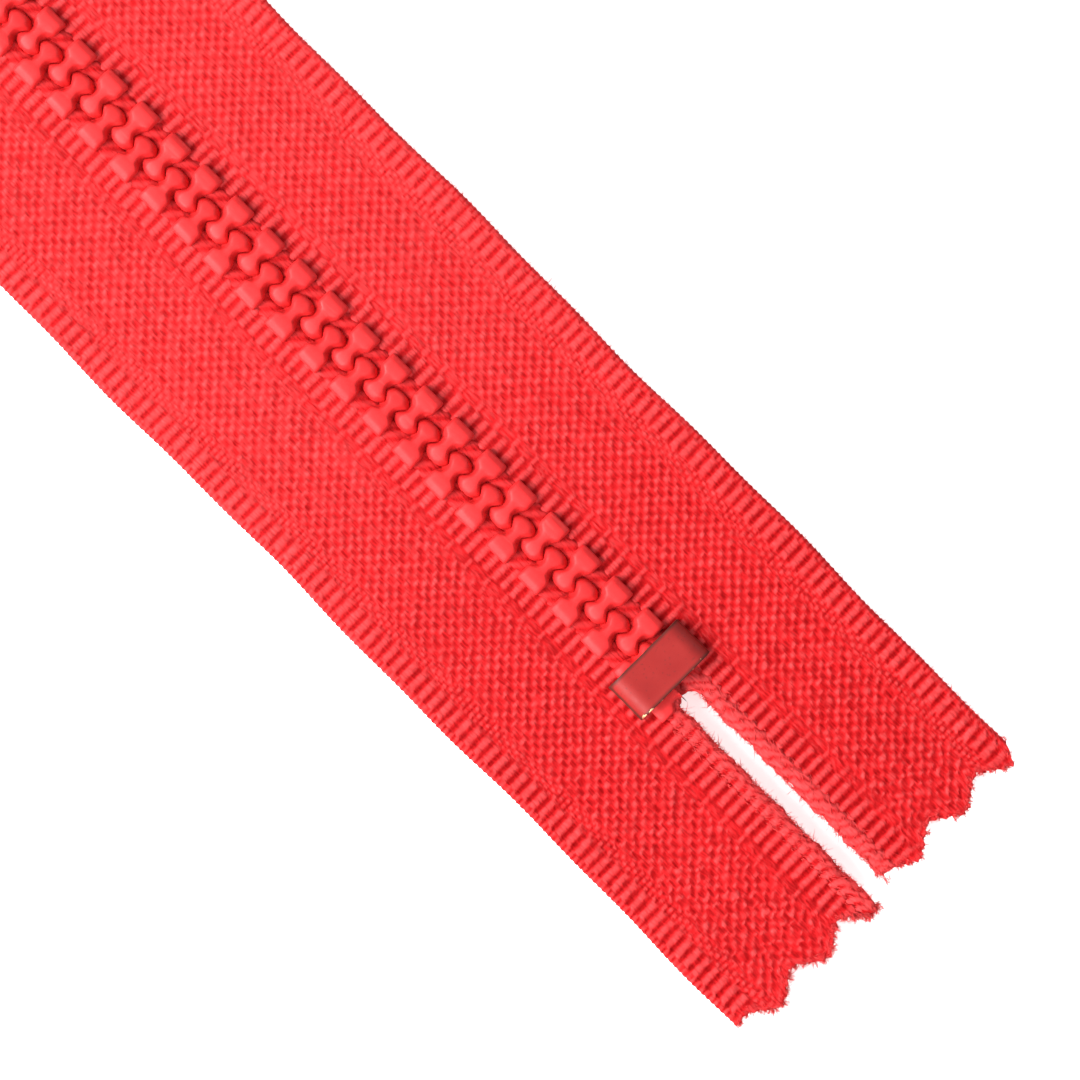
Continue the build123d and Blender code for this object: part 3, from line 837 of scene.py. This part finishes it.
def bottom_stop():
    """A strip of enamelled sheet bent round both rows, open at a seam underneath."""
    route, profile = stop_route(), stop_profile()
    wide, half_length = STOP_HALF[0], STOP_HALF[1]
    dish = 0.03 * (np.abs(profile[:, 0]) / half_length) ** 6 * (profile[:, 1] > -0.2)
    x = route[:, None, 0] + route[:, None, 2] * (profile[:, 1] + dish)
    z = route[:, None, 1] + route[:, None, 3] * (profile[:, 1] + dish)
    wobble = 1 + 0.004 * np.sin(route[:, None, 0] * 2.3)
    y = np.broadcast_to(profile[:, 0], x.shape) * wobble
    verts = np.stack([x, y, z], -1)
    faces = capped_faces(*x.shape)
    to_rim = half_length - np.broadcast_to(np.abs(profile[:, 0]), x.shape)
    edge, rubbed, rim = (1 - smoothstep(*span, to_rim) for span in ((0.01, 0.12), (0.06, 0.22), (0.08, 0.26)))
    bare = rubbed * (verts[..., 1] < 0) * (0.70 + 0.30 * smoothstep(1.6, 2.4, np.abs(x)))
    # Painted shade: the stop is darkened on the flanks of its bends, more at the -x end.
    flank_shade = smoothstep(wide - 0.30, wide - 0.04, np.abs(x)) * (0.55 + 0.45 * (x < 0))
    # The edge attribute carries both the darker cut edges and rims and the painted shade on the flanks.
    wear_and_shade = {"edge": np.maximum(edge, np.maximum(0.75 * rim, 0.85 * flank_shade)), "bare": bare}
    piece = make_piece("bottom_stop_strip", verts.reshape(-1, 3), faces, STOP_ENAMEL, wear_and_shade)
    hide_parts("bottom_stop")
    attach(piece, "lower_end")


FILM_LEFT, FILM_WIDTH = -1.05, 2.65
FILM_START, FILM_END = -1.7, -2.62


def end_film():
    """A thin web of the teeth's plastic that spilled past the bottom stop and joins the two cords there."""
    columns, rows = 25, 11
    u, v = np.meshgrid(np.linspace(0, 1, columns), np.linspace(0, 1, rows))
    x = FILM_LEFT + FILM_WIDTH * u
    lip = FILM_END - 0.20 * np.sin(u * 2.6 + 0.4) + 0.10 * np.sin(u * 9)
    y = FILM_START + (lip - FILM_START) * v
    bead = 0.09 * np.exp(-(((v - 1) / 0.16) ** 2))
    middle = 0.10 - 0.12 * np.abs(u - 0.4) + 0.05 * np.sin(u * 7 + v * 2)
    thin = 0.05 + bead
    top = np.stack([x, y, middle + thin], -1)
    bottom = np.stack([x, y, middle - thin], -1)
    verts = np.concatenate([top, bottom]).reshape(-1, 3)
    faces = slab_faces(rows, columns)[:, ::-1]
    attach(make_piece("end_film", verts, faces, PLASTIC), "lower_end")


# ---- Everything in place ----

for side in SIDES:
    stringer = f"{side}_stringer"
    lower_tape = tape(side, f"{side}_tape_lower", LOWER_PEAK[side], TAPE_SPLIT_Y)
    upper_tape = tape(side, f"{side}_tape_upper", TAPE_SPLIT_Y, TOP_END)
    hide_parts(f"{side}_tape", f"{side}_tape_tail", f"{side}_tape_bend")
    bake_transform(lower_tape)
    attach(upper_tape, stringer)
    rope = cord(side)
    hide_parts(f"{side}_cord", f"{side}_tail_cord")
    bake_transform(rope)
    row = teeth(side)
    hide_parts(f"{side}_teeth", f"{side}_held_teeth")
    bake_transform(row)
    tail_groups = [
        frayed_end(side, "lower", FIBRE_COUNTS[side]["cut"], LOWER_LONGEST[side]),
        slot_fuzz(side, FIBRE_COUNTS[side]["slot"]),
        cord_fuzz(side, FIBRE_COUNTS[side]["cord"]),
        edge_fuzz(side, LOWER_PEAK[side] + 2.5, BEND_START, TAIL_EDGE_COUNT),
    ]
    tail_fringe = fibres(f"{side}_tail_fibres", tail_groups, "lower_end")
    upper_groups = [
        frayed_end(side, "upper", UPPER_CUT_COUNT, UPPER_LONGEST),
        edge_fuzz(side, BEND_END, TOP_END - 3, EDGE_COUNT),
    ]
    upper_fringe = fibres(f"{side}_stringer_fibres", upper_groups, stringer)

bottom_stop()
end_film()


def finish_nodes(names, material):
    for name in names:
        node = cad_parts[name]
        for index in range(max(1, len(node.material_slots))):
            if not node.material_slots:
                node.data.materials.append(material)
            node.material_slots[index].material = material


finish_nodes(["slider_body", "slider_cap", "pull_tab", "left_top_stop", "right_top_stop"], SLIDER_ENAMEL)
finish_nodes(["lock_spring"], STEEL)


# ---- Floor, light and camera ----

FRAME_WIDTH = 87.9 * MM
AIM = (0.6, 14.3)  # what the camera looks at, in millimetres from the bottom stop's centre
LENS, SENSOR = 135.0, 36.0
LEAN_X, LEAN_Y = math.radians(4.5), math.radians(1.0)
CHAIN_ANGLE = math.radians(134.76)  # the chain's direction in the picture, from its right-hand side


FLOOR_HALF = 1.6
SKY_STRENGTH = 0.80
LIGHTS = {  # place from the camera's aim, size and power
    "key": ((-0.42, 0.40, 0.46), 0.46, 12.4),
    "side_fill": ((-0.60, -0.08, 0.34), 0.30, 5.0),
}


def studio_floor():
    corners = [(x * FLOOR_HALF, y * FLOOR_HALF, 0) for x, y in ((-1, -1), (1, -1), (1, 1), (-1, 1))]
    mesh = bpy.data.meshes.new("floor")
    mesh.from_pydata(corners, [], [(0, 1, 2, 3)])
    mesh.materials.append(floor_material())
    floor = bpy.data.objects.new("floor", mesh)
    bpy.context.scene.collection.objects.link(floor)
    floor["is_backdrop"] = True


def studio_light(name, position, target, size, power):
    data = bpy.data.lights.new(name, "AREA")
    data.shape = "DISK"
    data.size = size
    data.energy = power
    light = bpy.data.objects.new(name, data)
    light.location = position
    light.rotation_mode = "QUATERNION"
    light.rotation_quaternion = (target - position).to_track_quat("-Z", "Y")
    bpy.context.scene.collection.objects.link(light)


def sky(strength):
    world = bpy.data.worlds.new("studio")
    world.use_nodes = True
    background = world.node_tree.nodes["Background"]
    background.inputs["Color"].default_value = (1.0, 1.0, 1.0, 1)
    background.inputs["Strength"].default_value = strength
    bpy.context.scene.world = world


def camera():
    right = Vector((math.cos(CHAIN_ANGLE - math.pi / 2), math.cos(CHAIN_ANGLE), 0))
    back = Vector((-math.sin(LEAN_X), -math.sin(LEAN_Y), 1)).normalized()
    right = (right - back * right.dot(back)).normalized()
    up = back.cross(right)
    data = bpy.data.cameras.new("camera")
    data.lens = LENS
    data.sensor_width = SENSOR
    target = Vector([place * MM for place in (STOP_X + AIM[0], STOP_Y + AIM[1], MID_Z)])
    distance = FRAME_WIDTH * LENS / SENSOR
    eye = bpy.data.objects.new("camera", data)
    turn = Matrix((right, up, back)).transposed()
    eye.matrix_world = Matrix.Translation(target + back * distance) @ turn.to_4x4()
    data.clip_start, data.clip_end = 0.01, 10
    bpy.context.scene.collection.objects.link(eye)
    bpy.context.scene.camera = eye
    return target


studio_floor()
aim = camera()
sky(SKY_STRENGTH)
for name, (place_from_aim, size, power) in LIGHTS.items():
    studio_light(name, aim + Vector(place_from_aim), aim, size, power)
bpy.context.scene.view_settings.view_transform = "Standard"
